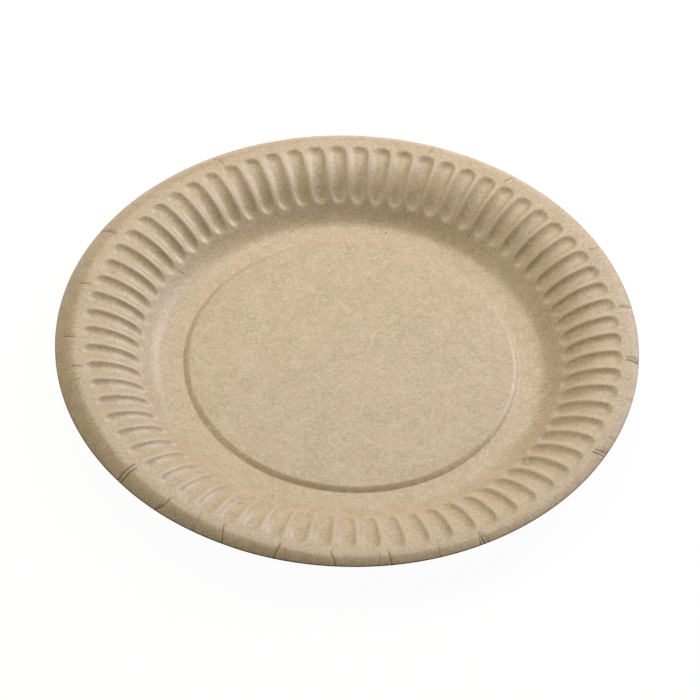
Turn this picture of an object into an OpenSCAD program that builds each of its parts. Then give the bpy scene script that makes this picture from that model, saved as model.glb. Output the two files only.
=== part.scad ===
// Shallow round plate pressed from one sheet of paperboard.
// Raised centre disc, flat foot ring, fluted wall and a rim that turns down.
// The round blank lay a little off the die, so the lip is wider on one side.
// Millimetres, Z through the centre of the cut edge, foot ring on z = 0.

/* [Plate] */
// Diameter over the cut edge of the rim
plate_d = 230; // [190:1:280]
// Height of the rim crown above the table
plate_h = 16.3; // [11:0.1:22]
// Thickness of the pressed board
board_t = 0.5; // [0.3:0.05:0.8]
// Place of the die's axis on X, from the centre of the cut edge
die_x = 2.2; // [-2.5:0.1:2.5]
// Place of the die's axis on Y, from the centre of the cut edge
die_y = -1.5; // [-2.5:0.1:2.5]

/* [Centre] */
// Height of the centre disc above the foot ring
disc_h = 1.3; // [0.6:0.1:2.4]
// Radial width of the slope around the centre disc
step_w = 2.5; // [1.5:0.1:4]
// Radial width of the flat foot ring
ring_w = 7.4; // [4:0.2:14]

/* [Wall] */
// Radial width from the foot ring to the rim crown
wall_w = 35.4; // [30:0.2:40]
// Reach of the hollow bend at the foot, measured out from the foot ring
foot_bend = 8; // [5:0.1:10]
// Place where the round shoulder would start if the wall were a corner
shoulder_at = 13.6; // [11:0.1:17]

/* [Flutes] */
// Number of flutes around the wall
flutes = 70; // [48:1:84]
// Depth of a flute below the ridges beside it
flute_depth = 1.1; // [0.4:0.1:1.8]
// Width of a flute at its mouth, share of the pitch
flute_share = 0.74; // [0.5:0.02:0.88]
// Width of the flute bottom, share of the flute width
bottom_share = 0.5; // [0.3:0.05:0.7]
// Radial distance from the foot ring to the inner flute ends
flute_start = 9.4; // [7:0.1:13]
// Radial distance from the outer flute ends to the rim crown
flute_stop = 2.8; // [1.8:0.1:6]
// Angle of the first flute from +X, degrees
flute_turn = 3.55; // [0:0.05:5]

/* [Rim] */
// Mean radial width of the lip outside the rim crown
lip_w = 6; // [5:0.1:9]
// Drop of the lip at its mean width
lip_drop = 2.4; // [0.6:0.1:3]

/* [Hidden] */
$fn = 72;

edge_r = plate_d / 2;
crown_r = edge_r - lip_w;
foot_r = crown_r - wall_w;
step_r = foot_r - ring_w;
disc_r = step_r - step_w;
rise = plate_h - board_t;
pitch = 360 / flutes;
// Half angles of a flute mouth and of a flute bottom
mouth_a = pitch * flute_share / 2;
floor_a = mouth_a * bottom_share;
// Flat margin inside the wall, and how much of it the floor shares
margin = 3;
shared = 2;
floor_r = foot_r - margin + shared;
// Bends at the top and the foot of the slope around the centre disc
bend = 0.14;

// Wall curve: flat at the foot, steep, then round to the level crown
function blend(t, p, q, last) =
    3 * t * pow(1 - t, 2) * p + 3 * t * t * (1 - t) * q + t * t * t * last;
function slope(t, p, q, last) =
    3 * pow(1 - t, 2) * p + 6 * t * (1 - t) * (q - p) + 3 * t * t * (last - q);
function wall_r(t) =
    foot_r + blend(t, foot_bend, shoulder_at, wall_w);
function wall_z(t) = board_t + blend(t, 0, rise, rise);

// Share of the wall curve at which it passes a radius
function find_t(r, low = 0, high = 1, n = 24) =
    n == 0 ? (low + high) / 2
    : wall_r((low + high) / 2) < r ? find_t(r, (low + high) / 2, high, n - 1)
    : find_t(r, low, (low + high) / 2, n - 1);

// A row of the skin: radius, height, unit normal (radial, up), flute share
function row(r, z, dr, dz, deep) =
    [r, z, -dz / norm([dr, dz]), dr / norm([dr, dz]), deep];
function wall_row(t, deep) =
    row(wall_r(t), wall_z(t),
        slope(t, foot_bend, shoulder_at, wall_w),
        slope(t, 0, rise, rise), deep);
// Distance from the die's axis to the cut edge at an angle
function lip_end(a) =
    let (toward = die_x * cos(a) + die_y * sin(a))
    sqrt(edge_r * edge_r + toward * toward - die_x * die_x - die_y * die_y)
        - toward;
// The die's lip falls as the square of the distance from the crown
function lip_row(v, a) =
    let (out = (lip_end(a) - crown_r) * v)
    row(crown_r + out, plate_h - lip_drop * pow(out / lip_w, 2),
        lip_w, -2 * lip_drop * out / lip_w, 0);

start_t = find_t(foot_r + flute_start);
stop_t = find_t(crown_r - flute_stop);
function flute_t(share) = start_t + (stop_t - start_t) * share;

// Plain rows have two points a flute, fluted rows have four
inner_rows = [
    row(foot_r - margin, board_t, 1, 0, 0),
    row(foot_r, board_t, 1, 0, 0),
    wall_row(start_t * 0.5, 0),
    wall_row(start_t * 0.8, 0)];
flute_rows = [
    wall_row(start_t, 0),
    wall_row(flute_t(0.14), 1),
    wall_row(flute_t(0.42), 1),
    wall_row(flute_t(0.7), 1),
    wall_row(flute_t(0.93), 1),
    wall_row(stop_t, 0)];
// Rows of the lip, as shares of its width
lip_shares = [0, 0.55, 1];

function turned(p, a) =
    [die_x + p[0] * cos(a), die_y + p[0] * sin(a), p[1]];
// A point of a row, moved back from the upper skin by a depth
function skin(w, a, back) =
    turned([w[0] - w[2] * back, w[1] - w[3] * back], a);
function plain_row(w, back) = [
    for (i = [0 : flutes - 1], s = [-0.25, 0.25])
        skin(w, flute_turn + pitch * (i + s), back)];
function lip_ring(v, back) = [
    for (i = [0 : flutes - 1], s = [-0.25, 0.25])
        let (a = flute_turn + pitch * (i + s))
        skin(lip_row(v, a), a, back)];
function fluted_row(w, back) = [
    for (i = [0 : flutes - 1], s = [-1, -0.5, 0.5, 1])
        skin(w, flute_turn + pitch * i
            + (abs(s) == 1 ? sign(s) * mouth_a : sign(s) * floor_a),
            back + (abs(s) == 1 ? 0 : w[4] * flute_depth))];

function one_skin(back) = concat(
    [for (w = inner_rows) each plain_row(w, back)],
    [for (w = flute_rows) each fluted_row(w, back)],
    [for (v = lip_shares) each lip_ring(v, back)]);

plain_n = flutes * 2;
fluted_n = flutes * 4;
inner_n = len(inner_rows) * plain_n;
outer_at = inner_n + len(flute_rows) * fluted_n;
skin_n = outer_at + len(lip_shares) * plain_n;

// Triangles between two rows of n points, facing up
function band(a, b, n) = [
    for (i = [0 : n - 1], k = [0, 1])
        k == 0 ? [a + i, a + (i + 1) % n, b + (i + 1) % n]
        : [a + i, b + (i + 1) % n, b + i]];
// Triangles from a plain row inside to a fluted row outside
function widen(p, f) = [
    for (i = [0 : flutes - 1])
        let (p0 = p + 2 * i, p1 = p0 + 1, p2 = p + (2 * i + 2) % plain_n,
            f0 = f + 4 * i, f4 = f + (4 * i + 4) % fluted_n)
        each [[p0, f0 + 1, f0], [p0, p1, f0 + 1], [p1, f0 + 2, f0 + 1],
            [p1, f0 + 3, f0 + 2], [p1, f4, f0 + 3], [p1, p2, f4]]];
// Triangles from a fluted row inside to a plain row outside
function narrow(f, p) = [
    for (i = [0 : flutes - 1])
        let (p0 = p + 2 * i, p1 = p0 + 1, p2 = p + (2 * i + 2) % plain_n,
            f0 = f + 4 * i, f4 = f + (4 * i + 4) % fluted_n)
        each [[f0, f0 + 1, p0], [f0 + 1, p1, p0], [f0 + 1, f0 + 2, p1],
            [f0 + 2, f0 + 3, p1], [f0 + 3, f4, p1], [f4, p2, p1]]];
function flipped(tris) = [for (f = tris) [f[0], f[2], f[1]]];
function raised(tris, by) = [for (f = tris) [f[0] + by, f[1] + by, f[2] + by]];
// Ring of the upper skin at a to the same ring of the lower skin
function rim_band(a, n) = [
    for (i = [0 : n - 1], k = [0, 1])
        k == 0 ? [a + i, a + (i + 1) % n, skin_n + a + (i + 1) % n]
        : [a + i, skin_n + a + (i + 1) % n, skin_n + a + i]];

upper = concat(
    [for (i = [0 : len(inner_rows) - 2])
        each band(i * plain_n, (i + 1) * plain_n, plain_n)],
    widen(inner_n - plain_n, inner_n),
    [for (i = [0 : len(flute_rows) - 2])
        each band(inner_n + i * fluted_n, inner_n + (i + 1) * fluted_n,
            fluted_n)],
    narrow(outer_at - fluted_n, outer_at),
    [for (i = [0 : len(lip_shares) - 2])
        each band(outer_at + i * plain_n, outer_at + (i + 1) * plain_n,
            plain_n)]);

// Slope around the centre disc, from its upper edge out to the foot ring
function step_line(r, z) = [
    [r, z + disc_h],
    [r + step_w * bend * 1.6, z + disc_h * (1 - bend)],
    [r + step_w * (1 - bend * 1.6), z + disc_h * bend],
    [r + step_w, z]];
function reversed(v) = [for (i = [len(v) - 1 : -1 : 0]) v[i]];
// The lower skin of the slope stands this far inside the upper one
lean = board_t * disc_h / norm([step_w, disc_h]);

// Centre disc, its slope and the flat foot ring
module floor_disc() {
    color("#c9b48f")
    translate([die_x, die_y, 0])
    rotate_extrude()
    polygon(concat(
        [[0, disc_h]], step_line(disc_r - lean, 0), [[floor_r, 0]],
        [[floor_r, board_t]], reversed(step_line(disc_r, board_t)),
        [[0, board_t + disc_h]]));
}

// Wall with its flutes, rim crown and lip, both skins of the board
module fluted_wall() {
    color("#c4ad86")
    polyhedron(
        points = concat(one_skin(0), one_skin(board_t)),
        faces = concat(
            upper,
            flipped(raised(upper, skin_n)),
            flipped(rim_band(0, plain_n)),
            rim_band(skin_n - plain_n, plain_n)));
}

module plate() {
    floor_disc();
    fluted_wall();
}

plate();
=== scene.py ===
"""A fluted plate of pressed kraft board, dressed for the picture.

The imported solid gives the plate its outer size. The board is one skin, spun from its section,
pressed into flutes, creased along the lip and then given its thickness.
"""

import math
from typing import NamedTuple

import bmesh
import bpy
from bpy.props import FloatProperty, FloatVectorProperty, IntProperty, PointerProperty
from mathutils import Matrix, Vector, noise


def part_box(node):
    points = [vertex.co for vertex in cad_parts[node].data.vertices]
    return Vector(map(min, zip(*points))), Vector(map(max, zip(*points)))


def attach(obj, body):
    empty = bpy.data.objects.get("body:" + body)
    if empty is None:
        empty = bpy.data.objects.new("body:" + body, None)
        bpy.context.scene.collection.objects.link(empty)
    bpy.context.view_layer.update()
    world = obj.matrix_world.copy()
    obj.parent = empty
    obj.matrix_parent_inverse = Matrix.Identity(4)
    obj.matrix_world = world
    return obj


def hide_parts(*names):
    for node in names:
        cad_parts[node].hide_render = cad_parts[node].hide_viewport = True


bl_info = {
    "name": "Fluted Kraft Plate",
    "version": (1, 0, 0),
    "blender": (4, 5, 0),
    "location": "3D View > Sidebar > Plate",
    "description": "A pressed kraft board plate with a fluted wall, and a stage for its picture",
    "category": "Add Mesh",
}

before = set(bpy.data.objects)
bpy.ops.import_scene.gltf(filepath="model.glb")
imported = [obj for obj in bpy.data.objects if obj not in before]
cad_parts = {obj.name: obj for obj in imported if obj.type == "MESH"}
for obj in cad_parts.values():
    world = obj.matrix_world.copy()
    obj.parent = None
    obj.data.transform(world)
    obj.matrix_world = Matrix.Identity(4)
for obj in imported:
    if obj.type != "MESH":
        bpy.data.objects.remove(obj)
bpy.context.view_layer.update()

MM = 0.001
NODE = "plate"
BODY = "root"
CAD_LOW, CAD_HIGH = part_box(NODE)
CAD_RADIUS = max(v.co.xy.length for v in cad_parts[NODE].data.vertices)

# Rise and fall of the unevenness of the board, and the lengths of its slow and quick waves.
UNEVEN = 0.16 * MM
SLOW_WAVE = 26 * MM
QUICK_WAVE = 11 * MM
# The disc's unevenness fades out over this width inside its edge.
DISC_FADE = 20 * MM
# A crease of this depth has the full painted shade of a fold.
CREASE_SHADE_DEPTH = 0.2 * MM
# The painted highlight along the crest between two flutes: where it begins and is full, as shares
# of the pitch from the middle of a flute, and the length over which it fades at the ends of the
# flutes.
CREST_HIGHLIGHT_PLACES = (0.36, 0.46)
CREST_HIGHLIGHT_FADE = 4 * MM
# How much less the lip shines than the rest, and the share of the lip over which that comes in.
LIP_MATT = 0.4
LIP_MATT_BY = 0.3


class Crease(NamedTuple):
    """A fold in the lip. Turns are degrees from +X about the die's axis, at the crease's outer
    and inner ends. Gaps are the distances of those ends from the cut edge, and depth is that of
    the fold, all in millimetres."""

    outer_turn: float
    inner_turn: float
    outer_gap: float
    inner_gap: float
    depth: float


CREASES = (
    Crease(12.7, 12.9, 0.0, 5.2, 0.28),
    Crease(30.3, 30.5, 1.0, 5.8, 0.18),
    Crease(31.4, 32.4, 2.2, 8.0, 0.10),
    Crease(42.9, 42.5, 0.0, 4.8, 0.12),
    Crease(56.2, 57.4, 0.0, 8.4, 0.20),
    Crease(75.0, 75.6, 0.0, 8.0, 0.16),
    Crease(91.2, 91.0, 0.0, 6.4, 0.12),
    Crease(123.1, 122.0, 3.4, 10.4, 0.16),
    Crease(143.8, 144.9, 0.0, 7.6, 0.14),
    Crease(153.6, 154.0, 0.0, 8.6, 0.48),
    Crease(169.7, 169.4, 5.6, 11.4, 0.20),
    Crease(184.2, 184.9, 3.8, 8.0, 0.24),
    Crease(192.6, 193.0, 5.8, 10.6, 0.22),
    Crease(196.6, 196.1, 2.0, 8.6, 0.14),
    Crease(210.5, 210.0, 3.0, 8.0, 0.10),
    Crease(222.3, 221.9, 0.0, 9.2, 0.34),
    Crease(223.2, 223.0, 0.0, 8.8, 0.30),
    Crease(232.5, 233.2, 0.0, 2.6, 0.30),
    Crease(233.3, 233.4, 1.4, 6.6, 0.24),
    Crease(241.3, 240.3, 0.0, 8.4, 0.14),
    Crease(247.3, 245.6, 0.0, 8.0, 0.20),
    Crease(257.6, 258.1, 0.0, 6.6, 0.34),
    Crease(259.7, 259.0, 0.0, 4.6, 0.14),
    Crease(269.3, 267.8, 0.0, 6.4, 0.18),
    Crease(277.4, 277.9, 0.0, 5.2, 0.14),
    Crease(279.8, 279.4, 0.0, 6.4, 0.24),
    Crease(289.2, 289.6, 0.0, 5.2, 0.14),
    Crease(297.5, 298.0, 0.0, 3.6, 0.16),
    Crease(298.3, 298.2, 0.0, 6.8, 0.22),
    Crease(299.1, 298.9, 0.0, 5.0, 0.16),
    Crease(331.4, 330.7, 0.0, 7.2, 0.24),
    Crease(332.1, 331.8, 0.0, 5.4, 0.20),
    Crease(335.9, 336.1, 0.0, 3.0, 0.12),
    Crease(347.0, 347.0, 0.0, 3.0, 0.12),
    Crease(357.3, 358.2, 0.0, 6.6, 0.20),
    Crease(358.1, 358.9, 0.0, 5.4, 0.18),
)


def srgb(red, green, blue):
    """A colour read off the picture, 0 to 255, as the linear colour that shaders take."""
    shares = (red / 255, green / 255, blue / 255)
    return tuple(s / 12.92 if s <= 0.04045 else ((s + 0.055) / 1.055) ** 2.4 for s in shares)


def smooth(x, low=0.0, high=1.0):
    """Soft step from 0 at low to 1 at high."""
    x = min(max((x - low) / (high - low), 0.0), 1.0)
    return x * x * (3 - 2 * x)


def length(name, description, default):
    """A length that a user would change."""
    return FloatProperty(name=name, description=description, default=default,
                         min=0.0, unit="LENGTH", subtype="DISTANCE", precision=4)


def colour(name, description, default):
    """A colour that a user would change."""
    return FloatVectorProperty(name=name, description=description, default=default,
                               subtype="COLOR", size=3, min=0.0, max=1.0)


class PlateSizes(bpy.types.PropertyGroup):
    """Sizes of the pressed board."""

    edge_radius: length("Edge radius", "Of the round cut edge", CAD_RADIUS)
    height: length("Height", "From the table to the rim crown", CAD_HIGH.z)
    board: length("Board", "Thickness of the pressed board", 0.5 * MM)
    die_centre: FloatVectorProperty(name="Die centre", description="From the cut edge's centre",
                                    default=(2.2 * MM, -1.5 * MM), size=2, unit="LENGTH")
    disc_height: length("Disc height", "Rise of the centre disc above the foot ring", 1.3 * MM)
    step_width: length("Step width", "Slope around the centre disc", 2.5 * MM)
    ring_width: length("Ring width", "Flat foot ring that the plate stands on", 6.9 * MM)
    wall_width: length("Wall width", "From the foot ring out to the rim crown", 35.4 * MM)
    foot_bend: length("Foot bend", "Reach of the hollow bend at the foot", 9.0 * MM)
    shoulder_at: length("Shoulder", "Where the shoulder would start as a corner", 12.0 * MM)
    flutes: IntProperty(name="Flutes", description="Flutes around the wall", default=70, min=12)
    flute_depth: length("Flute depth", "From the ridges down to a flute's bottom", 1.3 * MM)
    flute_share: FloatProperty(name="Flute share", description="Flute width by pitch",
                               default=0.82, min=0.3, max=0.95, subtype="FACTOR")
    roundness: FloatProperty(name="Roundness", description="2 for a round trough, more for flat",
                             default=2.6, min=1.0, max=8.0)
    crest_softness: FloatProperty(name="Crest softness", description="Roundness of the crests",
                                  default=0.05, min=0.0, max=1.0, subtype="FACTOR")
    flute_start: length("Flute start", "From the foot ring to the inner flute ends", 9.4 * MM)
    flute_stop: length("Flute stop", "From the outer flute ends to the rim crown", 2.8 * MM)
    inner_end: FloatProperty(name="Inner end", description="Run-out of a flute by half its width",
                             default=1.6, min=0.2)
    flute_turn: FloatProperty(name="First flute", description="Angle of a flute from +X",
                              default=math.radians(3.55), subtype="ANGLE", unit="ROTATION")
    lip_width: length("Lip width", "Mean width from the rim crown to the cut edge", 6.0 * MM)
    lip_drop: length("Lip drop", "Fall of the lip at its mean width", 2.4 * MM)
    crease_width: length("Crease width", "From a crease's bottom up to its side", 0.4 * MM)


class PaperLook(bpy.types.PropertyGroup):
    """Colours and finish of the kraft board."""

    pale_tone: colour("Pale grain", "Colour where the pulp is thin", srgb(222, 204, 176))
    dark_tone: colour("Dark grain", "Colour where the pulp is dense", srgb(188, 167, 133))
    warm_tone: colour("Warm clouds", "Colour of the redder patches", srgb(211, 186, 159))
    fibre_tone: colour("Fibres", "Colour of the brown fibres", srgb(150, 124, 90))
    speck_tone: colour("Specks", "Colour of bark specks", srgb(92, 70, 46))
    # Painted shade: the cut face and the outermost edge of the lip are darkened in this colour as
    # if in shadow.
    cut_shade_tone: colour("Cut edge", "Colour of the cut face of the rim", srgb(84, 66, 42))
    # Painted shade in the folds of the lip; the marks take this colour too.
    crease_shade_and_mark_tone: colour("Creases", "Colour in the folds of the lip", srgb(84, 64, 42))
    roughness: FloatProperty(name="Roughness", description="Of the pressed face",
                             default=0.42, min=0.0, max=1.0, subtype="FACTOR")
    sheen: FloatProperty(name="Sheen", description="Strength of the gloss on the pressed face",
                         default=0.6, min=0.0, max=1.0, subtype="FACTOR")


class StageSetup(bpy.types.PropertyGroup):
    """Camera, lamps and floor of the picture."""

    elevation: FloatProperty(name="Elevation", description="Camera height as an angle",
                             default=math.radians(48.21), subtype="ANGLE", unit="ROTATION")
    roll: FloatProperty(name="Roll", description="Turn of the camera about its own view",
                        default=math.radians(-3.4), subtype="ANGLE", unit="ROTATION")
    distance: length("Distance", "From the camera to the plate", 1.251)
    lens: FloatProperty(name="Lens", description="Focal length, mm", default=161.76, min=1.0)
    aim: FloatVectorProperty(name="Aim", description="Place of the plate in view, right and up",
                             default=(-1.29 * MM, -4.2 * MM), size=2, unit="LENGTH")
    rear_light: FloatProperty(name="Rear light", description="Level of the high lamp behind",
                              default=0.37, min=0.0)
    right_light: FloatProperty(name="Right light", description="Level of the right lamp",
                               default=0.62, min=0.0)
    left_light: FloatProperty(name="Left light", description="Level of the filling left lamp",
                              default=0.18, min=0.0)
    room_light: FloatProperty(name="Room light", description="Level of the light all round",
                              default=0.02, min=0.0)


class Row(NamedTuple):
    """A ring of the upper skin about the die's axis. Slope is a unit vector, outward and up.
    Along is how far it lies from the inner flute ends, None outside the flutes. On the lip,
    share is how much of the way to the cut edge it has gone, and below is how far it lies under
    the lip's surface."""

    radius: float
    height: float
    slope: Vector
    along: float | None = None
    share: float = 0.0
    below: float = 0.0


def crown_radius(size):
    """From the die's axis to the top of the rim."""
    return size.edge_radius - size.lip_width


def foot_radius(size):
    """From the die's axis to the foot of the wall."""
    return crown_radius(size) - size.wall_width


def disc_radius(size):
    """From the die's axis to the edge of the centre disc."""
    return foot_radius(size) - size.ring_width - size.step_width


def wall_curve(size, t):
    """Place and slope (outward, up) of the upper skin at a share of the wall."""
    crown = crown_radius(size)
    foot = foot_radius(size)
    knots = (Vector((foot, size.board)),
             Vector((foot + size.foot_bend, size.board)),
             Vector((foot + size.shoulder_at, size.height)),
             Vector((crown, size.height)))
    u = 1 - t
    place = (u ** 3 * knots[0] + 3 * u * u * t * knots[1]
             + 3 * u * t * t * knots[2] + t ** 3 * knots[3])
    slope = (u * u * (knots[1] - knots[0]) + 2 * u * t * (knots[2] - knots[1])
             + t * t * (knots[3] - knots[2]))
    return place, slope.normalized()


def floor_rows(size):
    """Rows of the centre disc, the slope around it and the foot ring."""
    disc = disc_radius(size)
    step_foot = foot_radius(size) - size.ring_width
    top = size.board + size.disc_height
    level = Vector((1.0, 0.0))
    rows = [Row(disc * share, top, level) for share in (0.0, 0.4, 0.75)]
    # The slope starts softly from the disc and meets the foot ring in a tight bend.
    step_rows = 10
    steepness, softness = 1.04, 1.6
    for i in range(step_rows + 1):
        x = i / step_rows
        drop = min(steepness * x ** softness, 1.0)
        rows.append(Row(disc + size.step_width * x, top - size.disc_height * drop, level))
    for share in (0.04, 0.5):
        rows.append(Row(step_foot + size.ring_width * share, size.board, level))
    return rows


def wall_rows(size):
    """Rows of the wall from its foot to the rim crown, and how long the flutes are."""
    steps = 500
    fine = [wall_curve(size, i / steps) for i in range(steps + 1)]
    run = [0.0]
    for (a, _), (b, _) in zip(fine, fine[1:]):
        run.append(run[-1] + (b - a).length)

    def run_at(radius):
        return next(run[i] for i, (place, _) in enumerate(fine) if place.x >= radius)

    def row_at(distance, along=None):
        i = next((i for i, d in enumerate(run) if d >= distance), steps)
        place, slope = fine[i]
        return Row(place.x, place.y, slope, along)

    first = run_at(foot_radius(size) + size.flute_start)
    last = run_at(crown_radius(size) - size.flute_stop)
    foot_rows = 6
    rows = [row_at(first * i / foot_rows) for i in range(foot_rows)]
    # The rows crowd towards both ends of the flutes.
    flute_rows = 21
    crowding = 0.1
    for i in range(flute_rows + 1):
        x = i / flute_rows
        along = (last - first) * (x - crowding * math.sin(2 * math.pi * x))
        rows.append(row_at(first + along, along))
    crown_rows = 3
    for i in range(1, crown_rows + 1):
        rows.append(row_at(last + (run[-1] - last) * i / crown_rows))
    return rows, last - first


def board_rows(size):
    """All rows of the upper skin from the axis to the cut edge, and the flutes' length."""
    wall, flute_length = wall_rows(size)
    lip_count = 10
    lip = [Row(crown_radius(size), size.height, Vector((1.0, 0.0)), share=(i + 1) / lip_count)
           for i in range(lip_count)]
    # The cut was made straight down, so its face stands upright.
    cut_foot = lip[-1]._replace(below=size.board)
    return floor_rows(size) + wall + lip + [cut_foot], flute_length


def edge_reach(size, angle):
    """Distance from the die's axis to the cut edge."""
    die = Vector(size.die_centre)
    toward = die.dot(Vector((math.cos(angle), math.sin(angle))))
    return math.sqrt(size.edge_radius ** 2 + toward ** 2 - die.length_squared) - toward


def on_lip(size, row, angle):
    """A lip row at an angle. The die's lip falls as the square of the distance out."""
    crown = crown_radius(size)
    out = (edge_reach(size, angle) - crown) * row.share
    height = size.height - size.lip_drop * (out / size.lip_width) ** 2 - row.below
    slope = Vector((size.lip_width, -2 * size.lip_drop * out / size.lip_width)).normalized()
    return row._replace(radius=crown + out, height=height, slope=slope)


# Places of the columns across a flute, as shares of the pitch from its middle. They crowd where
# the trough meets the crest.
PLACES = (0.0, 0.15, 0.26, 0.335, 0.385, 0.425, 0.5)
COLUMNS_PER_FLUTE = 2 * len(PLACES) - 2


def column_angle(size, column):
    """Angle of a column, and its place across the flute as a share of the pitch."""
    flute, step = divmod(column, COLUMNS_PER_FLUTE)
    if step < len(PLACES):
        off = PLACES[step]
    else:
        off = -PLACES[COLUMNS_PER_FLUTE - step]
        flute += 1
    return size.flute_turn + (flute + off) * 2 * math.pi / size.flutes, off


def crease_columns(size):
    """One column for each crease: the nearest with a free column between it and any other."""
    columns = size.flutes * COLUMNS_PER_FLUTE
    angles = [math.degrees(column_angle(size, c)[0]) for c in range(columns)]
    taken = {}
    for crease in CREASES:
        middle = (crease.outer_turn + crease.inner_turn) / 2
        free = [c for c in range(columns)
                if not any((c + k) % columns in taken for k in (-1, 0, 1))]
        column = min(free, key=lambda c: abs((angles[c] - middle + 180) % 360 - 180))
        taken[column] = crease
    return taken


def crease_at(crease, gap):
    """Turn and strength of a crease at a distance from the cut edge, both in millimetres."""
    share = (gap - crease.outer_gap) / (crease.inner_gap - crease.outer_gap)
    turn = crease.outer_turn + (crease.inner_turn - crease.outer_turn) * min(max(share, 0), 1)
    fade = 0.9
    strength = 1 - smooth(gap, crease.inner_gap - fade, crease.inner_gap + fade)
    if crease.outer_gap > 0:
        strength *= smooth(gap, crease.outer_gap - fade, crease.outer_gap + fade)
    return turn, strength


def crease_shifts(size, row, crease_of, flute_end):
    """How far each column turns in a row so that creases run along columns, in radians, and
    the strength of the crease on it. The columns beside a crease close in on it."""
    columns = size.flutes * COLUMNS_PER_FLUTE
    comes_in, columns_drawn = 2 * MM, 8
    draw = smooth(row.radius if row.share == 0 else size.edge_radius,
                  flute_end, flute_end + comes_in)
    plain = [column_angle(size, column)[0] for column in range(columns)]
    shifts = [0.0] * columns
    strengths = [0.0] * columns
    creased = sorted(crease_of)
    for column in creased:
        radius = on_lip(size, row, plain[column]).radius if row.share else row.radius
        gap = (edge_reach(size, plain[column]) - radius) / MM
        turn, strength = crease_at(crease_of[column], gap)
        shifts[column] = math.remainder(math.radians(turn) - plain[column], 2 * math.pi) * draw
        strengths[column] = strength * draw
    for a, b in zip(creased, creased[1:] + [creased[0] + columns]):
        reach = min(columns_drawn, b - a)
        for column in range(a + 1, b):
            shifts[column % columns] = (shifts[a] * max(1 - (column - a) / reach, 0)
                                        + shifts[b % columns] * max(1 - (b - column) / reach, 0))
    for column in creased:
        for beside in ((column - 1) % columns, (column + 1) % columns):
            if beside in crease_of:
                continue
            step = math.remainder(plain[beside] + shifts[beside] - plain[column] - shifts[column],
                                  2 * math.pi)
            # From half the crease's strength on, they lie as far off as the crease is wide.
            spare = max(1 - size.crease_width / (size.edge_radius * abs(step)), 0)
            shifts[beside] -= step * spare * min(strengths[column] * 2, 1)
    return shifts, strengths


def waviness(place, share):
    """Small unevenness of pressed board: over the raised disc, and along the lip."""
    slow = noise.noise(place / SLOW_WAVE)
    quick = noise.noise(place / QUICK_WAVE)
    return UNEVEN * share * (0.7 * slow + 0.3 * quick)


def pressed_depth(size, radius, along, run, off):
    """How deep the die presses the board, at a place along and across a flute. A flute is a
    round trough with a soft crest, a round outer end and a longer inner end."""
    half = size.flute_share * math.pi * radius / size.flutes
    across = abs(off) * 2 / size.flute_share
    inner = size.inner_end * half
    end = max(1 - along / inner, 1 - (run - along) / half, 0.0)
    reach = math.hypot(across, end)
    trough = 1 - reach ** size.roundness
    crest = size.crest_softness
    return (size.flute_depth * (trough + math.hypot(trough, crest))
            / (1 + math.hypot(1, crest)))


def settle_order(bm):
    """Sort the edges and faces by their corners, because a spin orders them differently in each
    run."""
    bm.verts.index_update()
    count = len(bm.verts)

    def order(part):
        corners = sorted(vert.index for vert in part.verts)
        return (corners[0] * count + corners[1]) * count + corners[-1]

    bm.edges.sort(key=order)
    bm.faces.sort(key=order)


def spin_rings(bm, count, columns):
    """Spin a line of points, one for each row, about Z. Gives the points of each row, and the
    layers that number the rows and the columns."""
    row_of = bm.verts.layers.int.new("row")
    column_of = bm.verts.layers.int.new("column")
    line = []
    for i in range(count):
        vert = bm.verts.new((i * MM, 0.0, 0.0))
        vert[row_of] = i
        line.append(vert)
    for a, b in zip(line, line[1:]):
        bm.edges.new((a, b))
    bmesh.ops.spin(bm, geom=bm.verts[:] + bm.edges[:], cent=(0, 0, 0), axis=(0, 0, 1),
                   dvec=(0, 0, 0), angle=2 * math.pi, steps=columns, use_merge=True)
    # The points that the spin leaves on the axis become one.
    middle = [v for v in bm.verts if v.co.length < 0.01 * MM]
    bmesh.ops.remove_doubles(bm, verts=middle, dist=0.1 * MM)
    settle_order(bm)
    rings = [[] for _ in range(count)]
    for vert in bm.verts:
        turn = math.atan2(vert.co.y, vert.co.x) * columns / (2 * math.pi)
        vert[column_of] = round(turn) % columns
        rings[vert[row_of]].append(vert)
    return rings, row_of, column_of


def round_shading(bm, row_of, cut_row):
    """Faces that face up and shade as one, with a sharp corner where the board was cut."""
    bmesh.ops.recalc_face_normals(bm, faces=bm.faces)
    if sum(f.normal.z for f in bm.faces) < 0:
        bmesh.ops.reverse_faces(bm, faces=bm.faces)
    for face in bm.faces:
        face.smooth = True
    for edge in bm.edges:
        on_cut = all(vert[row_of] == cut_row for vert in edge.verts)
        edge.smooth = not (edge.is_boundary or on_cut)


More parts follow.
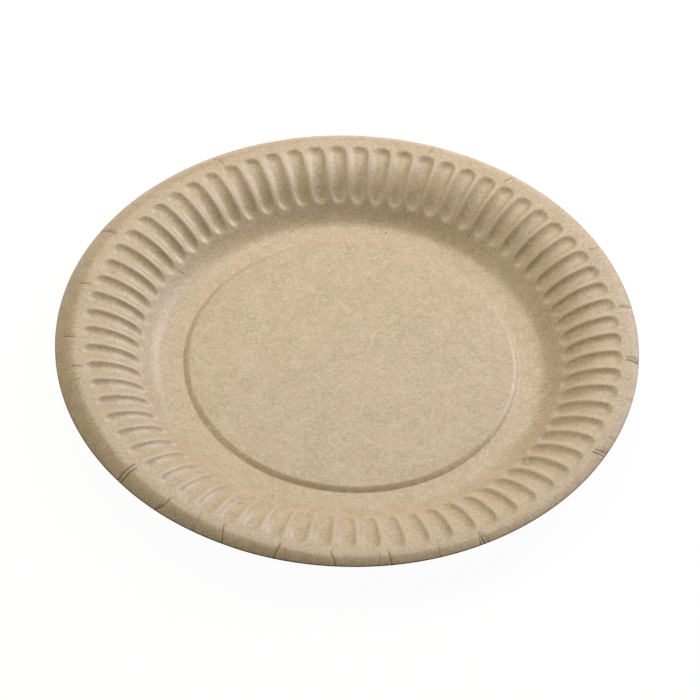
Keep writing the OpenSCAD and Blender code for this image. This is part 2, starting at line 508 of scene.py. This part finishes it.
def press_board(size):
    """The upper skin of the plate, spun from its section, pressed into flutes and creased."""
    rows, flute_length = board_rows(size)
    columns = size.flutes * COLUMNS_PER_FLUTE
    flute_end = max(row.radius for row in rows if row.along is not None)
    disc = disc_radius(size)
    crease_of = crease_columns(size)
    bm = bmesh.new()
    # Layers: painted shade in the creases, a painted highlight on the flute crests, painted shade
    # at the cut edge, and how much sheen is lost.
    crease_shade_tint, crest_highlight_tint, cut_shade_tint, matt_share = (
        bm.verts.layers.float.new(name) for name in ("crease", "crest", "cut", "matt"))
    rings, row_of, column_of = spin_rings(bm, len(rows), columns)
    for row, ring in zip(rows, rings):
        outside = row.share > 0 or row.radius > flute_end
        if outside:
            shifts, strengths = crease_shifts(size, row, crease_of, flute_end)
        for vert in ring:
            column = vert[column_of]
            angle, off = column_angle(size, column)
            depth = 0.0
            if outside:
                angle += shifts[column]
            here = on_lip(size, row, angle) if row.share else row
            if outside and strengths[column]:
                depth = crease_of[column].depth * MM * strengths[column]
                # Painted shade in the fold, the darker the deeper the crease.
                vert[crease_shade_tint] = min(depth / CREASE_SHADE_DEPTH, 1.0)
            if here.along is not None:
                depth = pressed_depth(size, here.radius, here.along, flute_length, off)
                # Painted highlight along the crest between two flutes, fading at the flutes' ends.
                ends = min(here.along, flute_length - here.along) / CREST_HIGHLIGHT_FADE
                vert[crest_highlight_tint] = smooth(abs(off), *CREST_HIGHLIGHT_PLACES) * smooth(ends)
            # Painted shade on the cut face and on the last row of the lip.
            vert[cut_shade_tint] = float(row.share == 1)
            vert[matt_share] = max(vert[crease_shade_tint], vert[cut_shade_tint],
                                   LIP_MATT * smooth(row.share, 0.0, LIP_MATT_BY))
            radius = here.radius + here.slope.y * depth
            height = here.height - here.slope.x * depth
            place = Vector((radius * math.cos(angle), radius * math.sin(angle), height))
            uneven = max(row.share, 1 - smooth(radius, disc - DISC_FADE, disc))
            place.z += waviness(place, uneven)
            place.xy += Vector(size.die_centre)
            vert.co = place
    round_shading(bm, row_of, len(rows) - 2)
    return bm


def put(tree, kind, sockets=None, **settings):
    """A new node. Sockets maps a name or number to a value or to another node's output."""
    made = tree.nodes.new(kind)
    for name, value in settings.items():
        setattr(made, name, value)
    for key, value in (sockets or {}).items():
        if isinstance(value, bpy.types.NodeSocket):
            tree.links.new(value, made.inputs[key])
        else:
            made.inputs[key].default_value = value
    return made


def maths(tree, operation, a, b):
    """The result of one operation on two values."""
    return put(tree, "ShaderNodeMath", {0: a, 1: b}, operation=operation).outputs[0]


def attribute(tree, name):
    """The value that the mesh holds under a name."""
    return put(tree, "ShaderNodeAttribute", attribute_name=name).outputs["Fac"]


def blended(tree, share, under, over):
    """Colour that goes from under to over with share."""
    under = (*under, 1.0) if isinstance(under, tuple) else under
    over = (*over, 1.0) if isinstance(over, tuple) else over
    return put(tree, "ShaderNodeMix", {0: share, 6: under, 7: over}, data_type="RGBA").outputs[2]


def ramp(tree, value, low, high, top=1.0):
    """Value stretched so that low becomes 0 and high becomes top."""
    return put(tree, "ShaderNodeMapRange",
               {"Value": value, "From Min": low, "From Max": high, "To Min": 0.0, "To Max": top},
               interpolation_type="SMOOTHSTEP").outputs["Result"]


class Mark(NamedTuple):
    """A thin mark on the board: its place about the die's axis (turn in degrees, radius in mm),
    its lean from the radial in degrees, its length and width in mm, and how dark it is."""

    turn: float
    radius: float
    lean: float
    long: float
    wide: float
    dark: float


# Most marks are specks and fibres of the board. The three long ones near the foot of the wall, at
# 56.8, 76.0 and 150.6 degrees, are painted shade of small creases that the mesh leaves out.
MARKS = (
    Mark(81.3, 73.3, 20, 1.3, 1.0, 0.7),
    Mark(82.0, 68.5, 4, 4.6, 0.3, 0.3),
    Mark(87.2, 77.0, 0, 0.7, 0.7, 0.5),
    Mark(161.4, 40.2, 30, 0.9, 0.7, 0.5),
    Mark(245.0, 92.2, -22, 3.2, 0.8, 0.6),
    Mark(157.8, 112.2, 70, 0.9, 0.8, 0.6),
    Mark(18.7, 108.0, 80, 1.8, 0.5, 0.4),
    Mark(56.8, 82.8, -6, 7.0, 0.6, 0.5),
    Mark(76.0, 81.6, -6, 3.6, 0.5, 0.3),
    Mark(150.6, 81.2, 26, 5.6, 0.6, 0.5),
    Mark(151.6, 101.0, -48, 4.6, 0.5, 0.45),
)


# Grain from a seventh of a millimetre up to 17 mm: noise scale and weight.
GRAIN = ((1700, 1.9), (800, 2.0), (240, 0.8), (60, 0.6))
# Fibres: their direction in degrees and noise scale. They are this many times as long as wide.
FIBRES = ((20, 2100), (83, 1800), (-41, 2000))
FIBRE_STRETCH = 5
# Noise scales of the warm clouds and of the cells that may hold a speck.
CLOUD_SCALE = 140
SPECK_CELLS = 190


def pulp(tree, vector, scale, detail=2, roughness=0.55):
    """Cloudy noise."""
    return put(tree, "ShaderNodeTexNoise",
               {"Vector": vector, "Scale": scale, "Detail": detail, "Roughness": roughness}
               ).outputs["Fac"]


def fibres(tree, place, turn, scale):
    """Short thin streaks in one direction."""
    along = put(tree, "ShaderNodeMapping",
                {"Vector": place, "Rotation": (0.0, 0.0, math.radians(turn)),
                 "Scale": (scale / FIBRE_STRETCH, scale, scale)}).outputs["Vector"]
    return ramp(tree, pulp(tree, along, 1.0, roughness=0.6), 0.62, 0.78, 0.35)


def bark_specks(tree, place):
    """Small round specks in a few of the cells that the board is divided into."""
    cell = put(tree, "ShaderNodeTexVoronoi", {"Vector": place, "Scale": SPECK_CELLS}, feature="F1")
    near = ramp(tree, cell.outputs["Distance"], 0.06, 0.03)
    number = put(tree, "ShaderNodeSeparateColor", {"Color": cell.outputs["Color"]})
    return maths(tree, "MULTIPLY", near, ramp(tree, number.outputs["Red"], 0.93, 0.97, 0.6))


def thin_mark(tree, size, place, mark):
    """How strong a mark's colour is: strongest in its middle, and none outside it."""
    turn = math.radians(mark.turn)
    spot = Vector((math.cos(turn), math.sin(turn))) * mark.radius * MM + Vector(size.die_centre)
    flat = put(tree, "ShaderNodeVectorMath", {0: place, 1: (1.0, 1.0, 0.0)},
               operation="MULTIPLY").outputs[0]
    local = put(tree, "ShaderNodeMapping",
                {"Vector": flat, "Location": (*spot, 0.0),
                 "Rotation": (0.0, 0.0, turn + math.radians(mark.lean)),
                 "Scale": (mark.long / 2 * MM, mark.wide / 2 * MM, 1.0)},
                vector_type="TEXTURE").outputs[0]
    away = put(tree, "ShaderNodeVectorMath", {0: local}, operation="LENGTH").outputs["Value"]
    return ramp(tree, away, 1.2, 0.4, mark.dark)


def kraft_board(size, look):
    """Uncoated kraft board: mottled pulp, short fibres, bark specks and marks, painted shade in
    the folds and at the cut edge, a painted highlight along the flute crests, and a pressed sheen.
    """
    material = bpy.data.materials.new("kraft_board")
    material.use_nodes = True
    tree = material.node_tree
    tree.nodes.clear()
    place = put(tree, "ShaderNodeTexCoord").outputs["Object"]

    grain = 0.5
    for scale, weight in GRAIN:
        uneven = maths(tree, "SUBTRACT", pulp(tree, place, scale), 0.5)
        grain = maths(tree, "ADD", grain, maths(tree, "MULTIPLY", uneven, weight))
    tone = blended(tree, grain, tuple(look.dark_tone), tuple(look.pale_tone))
    clouds = ramp(tree, pulp(tree, place, CLOUD_SCALE), 0.4, 0.66, 0.35)
    tone = blended(tree, clouds, tone, tuple(look.warm_tone))
    for turn, scale in FIBRES:
        tone = blended(tree, fibres(tree, place, turn, scale), tone, tuple(look.fibre_tone))
    tone = blended(tree, bark_specks(tree, place), tone, tuple(look.speck_tone))
    for mark in MARKS:
        tone = blended(tree, thin_mark(tree, size, place, mark), tone, tuple(look.crease_shade_and_mark_tone))
    # Painted shade darkens the folds of the lip.
    fold_shade = ramp(tree, attribute(tree, "crease"), 0.15, 1.0, 0.85)
    tone = blended(tree, fold_shade, tone, tuple(look.crease_shade_and_mark_tone))
    # Painted shade darkens the cut face and the very edge of the lip.
    cut = ramp(tree, attribute(tree, "cut"), 0.8, 1.0, 0.9)
    tone = blended(tree, cut, tone, tuple(look.cut_shade_tone))
    # Painted highlight: the crests between flutes are made paler.
    crest = maths(tree, "MULTIPLY", attribute(tree, "crest"), 0.6)
    tone = blended(tree, crest, tone, tuple(look.pale_tone))

    # The lip has less sheen than the rest, and torn fibre in the cut and in the folds has none.
    pressed = maths(tree, "SUBTRACT", 1.0, attribute(tree, "matt"))
    shade = put(tree, "ShaderNodeBsdfPrincipled",
                {"Base Color": tone, "Roughness": look.roughness, "IOR": 1.5,
                 "Specular IOR Level": maths(tree, "MULTIPLY", pressed, look.sheen)})
    fine = pulp(tree, place, 1100, 3, 0.65)
    coarse = maths(tree, "MULTIPLY", pulp(tree, place, 260), 1.5)
    bump = put(tree, "ShaderNodeBump", {"Height": maths(tree, "ADD", fine, coarse),
                                        "Strength": 0.3, "Distance": 0.12 * MM})
    tree.links.new(bump.outputs["Normal"], shade.inputs["Normal"])
    put(tree, "ShaderNodeOutputMaterial", {"Surface": shade.outputs["BSDF"]})
    return material


class MESH_OT_kraft_plate(bpy.types.Operator):
    """Press the plate from one sheet of kraft board"""

    bl_idname = "mesh.kraft_plate"
    bl_label = "Press kraft plate"

    def execute(self, context):
        size = context.scene.plate_sizes
        mesh = bpy.data.meshes.new("kraft_plate")
        bm = press_board(size)
        bm.to_mesh(mesh)
        bm.free()
        plate = bpy.data.objects.new("kraft_plate", mesh)
        context.scene.collection.objects.link(plate)
        mesh.materials.append(kraft_board(size, context.scene.paper_look))
        wall = plate.modifiers.new("board", "SOLIDIFY")
        wall.thickness = size.board
        wall.offset = -1
        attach(plate, BODY)
        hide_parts(NODE)
        return {"FINISHED"}


class Lamp(NamedTuple):
    """A square soft lamp aimed at the plate: its direction in degrees, its distance and the
    length of its side in metres, and its colour."""

    azimuth: float
    elevation: float
    distance: float
    side: float
    tint: tuple


LAMPS = {
    "rear": Lamp(100, 56, 0.9, 0.45, (1.0, 0.92, 0.78)),
    "right": Lamp(45, 35, 0.9, 0.45, (0.98, 0.95, 1.0)),
    "left": Lamp(182, 40, 1.2, 0.6, (1.0, 0.88, 0.62)),
}


def hang_lamp(scene, name, lamp, level):
    """Light a lamp. A level of 1 lights a facing white card to white."""
    data = bpy.data.lights.new(name, "AREA")
    data.size = lamp.side
    data.color = lamp.tint
    data.energy = level * (math.pi * lamp.distance) ** 2
    lamp_object = bpy.data.objects.new(name, data)
    a, e = math.radians(lamp.azimuth), math.radians(lamp.elevation)
    toward = Vector((math.cos(a) * math.cos(e), math.sin(a) * math.cos(e), math.sin(e)))
    place = toward * lamp.distance
    turned = place.to_track_quat("Z", "Y").to_matrix().to_4x4()
    lamp_object.matrix_world = Matrix.Translation(place) @ turned
    scene.collection.objects.link(lamp_object)


WHITE = (1.0, 1.0, 1.0, 1.0)
FLOOR_COLOUR = (0.9, 0.9, 0.9, 1.0)
# The floor shows this bright and by this share, and the rest of it takes the plate's shadow.
FLOOR_GLOW = 1.03
FLOOR_GLOW_SHARE = 0.94
# Half the floor's side, and the gap that keeps it from lying in the plane of the foot ring.
FLOOR_REACH = 4.0
FLOOR_GAP = 0.1 * MM


def seen_share(tree):
    """1 for rays that show the stage itself: from the camera, off gloss and through glass."""
    path = put(tree, "ShaderNodeLightPath").outputs
    seen = maths(tree, "MAXIMUM", path["Is Camera Ray"], path["Is Glossy Ray"])
    return maths(tree, "MAXIMUM", seen, path["Is Transmission Ray"])


def pale_floor():
    """A pale floor that shows near white and keeps the plate's soft shadow."""
    material = bpy.data.materials.new("pale_floor")
    material.use_nodes = True
    tree = material.node_tree
    tree.nodes.clear()
    lit = put(tree, "ShaderNodeBsdfDiffuse", {"Color": FLOOR_COLOUR})
    glow = put(tree, "ShaderNodeEmission", {"Color": WHITE, "Strength": FLOOR_GLOW})
    share = maths(tree, "MULTIPLY", seen_share(tree), FLOOR_GLOW_SHARE)
    both = put(tree, "ShaderNodeMixShader", {0: share, 1: lit.outputs[0], 2: glow.outputs[0]})
    put(tree, "ShaderNodeOutputMaterial", {"Surface": both.outputs[0]})
    return material


def room(scene, level):
    """World light all round, shown as white."""
    world = bpy.data.worlds.new("room")
    world.use_nodes = True
    tree = world.node_tree
    tree.nodes.clear()
    soft = put(tree, "ShaderNodeBackground", {"Color": WHITE, "Strength": level})
    white = put(tree, "ShaderNodeBackground", {"Color": WHITE, "Strength": 1.0})
    both = put(tree, "ShaderNodeMixShader",
               {0: seen_share(tree), 1: soft.outputs[0], 2: white.outputs[0]})
    put(tree, "ShaderNodeOutputWorld", {"Surface": both.outputs[0]})
    scene.world = world


def stage_camera(scene, stage):
    """The camera of the photograph: in front, above, with a long lens and a slight roll."""
    right = Vector((1.0, 0.0, 0.0))
    up = Vector((0.0, math.sin(stage.elevation), math.cos(stage.elevation)))
    back = right.cross(up)
    place = back * stage.distance - right * stage.aim[0] - up * stage.aim[1]
    c, s = math.cos(stage.roll), math.sin(stage.roll)
    turned = Matrix((right * c - up * s, right * s + up * c, back)).transposed()
    data = bpy.data.cameras.new("camera")
    data.lens = stage.lens
    data.clip_end = 20.0
    camera = bpy.data.objects.new("camera", data)
    camera.matrix_world = Matrix.Translation(place) @ turned.to_4x4()
    scene.collection.objects.link(camera)
    scene.camera = camera


class SCENE_OT_plate_stage(bpy.types.Operator):
    """Set the floor, lamps, room and camera around the plate"""

    bl_idname = "scene.plate_stage"
    bl_label = "Set stage"

    def execute(self, context):
        scene = context.scene
        stage = scene.plate_stage
        bm = bmesh.new()
        bmesh.ops.create_grid(bm, x_segments=1, y_segments=1, size=FLOOR_REACH)
        bmesh.ops.translate(bm, verts=bm.verts, vec=(0.0, 0.0, CAD_LOW.z - FLOOR_GAP))
        mesh = bpy.data.meshes.new("floor")
        bm.to_mesh(mesh)
        bm.free()
        mesh.materials.append(pale_floor())
        floor = bpy.data.objects.new("floor", mesh)
        scene.collection.objects.link(floor)
        for side, lamp in LAMPS.items():
            hang_lamp(scene, f"{side}_lamp", lamp, getattr(stage, f"{side}_light"))
        room(scene, stage.room_light)
        stage_camera(scene, stage)
        scene.view_settings.view_transform = "Standard"
        return {"FINISHED"}


class VIEW3D_PT_kraft_plate(bpy.types.Panel):
    """Buttons and sizes of the plate"""

    bl_label = "Kraft plate"
    bl_space_type = "VIEW_3D"
    bl_region_type = "UI"
    bl_category = "Plate"

    def draw(self, context):
        layout = self.layout
        for operator in OPERATORS:
            layout.operator(operator.bl_idname)
        scene = context.scene
        for group in (scene.plate_sizes, scene.paper_look, scene.plate_stage):
            box = layout.box()
            for name in group.__annotations__:
                box.prop(group, name)


OPERATORS = (MESH_OT_kraft_plate, SCENE_OT_plate_stage)
CLASSES = (PlateSizes, PaperLook, StageSetup, *OPERATORS, VIEW3D_PT_kraft_plate)


def register():
    for cls in CLASSES:
        bpy.utils.register_class(cls)
    bpy.types.Scene.plate_sizes = PointerProperty(type=PlateSizes)
    bpy.types.Scene.paper_look = PointerProperty(type=PaperLook)
    bpy.types.Scene.plate_stage = PointerProperty(type=StageSetup)


def unregister():
    del bpy.types.Scene.plate_stage
    del bpy.types.Scene.paper_look
    del bpy.types.Scene.plate_sizes
    for cls in reversed(CLASSES):
        bpy.utils.unregister_class(cls)


def main():
    register()
    bpy.ops.scene.plate_stage()
    bpy.ops.mesh.kraft_plate()


if __name__ == "__main__":
    main()
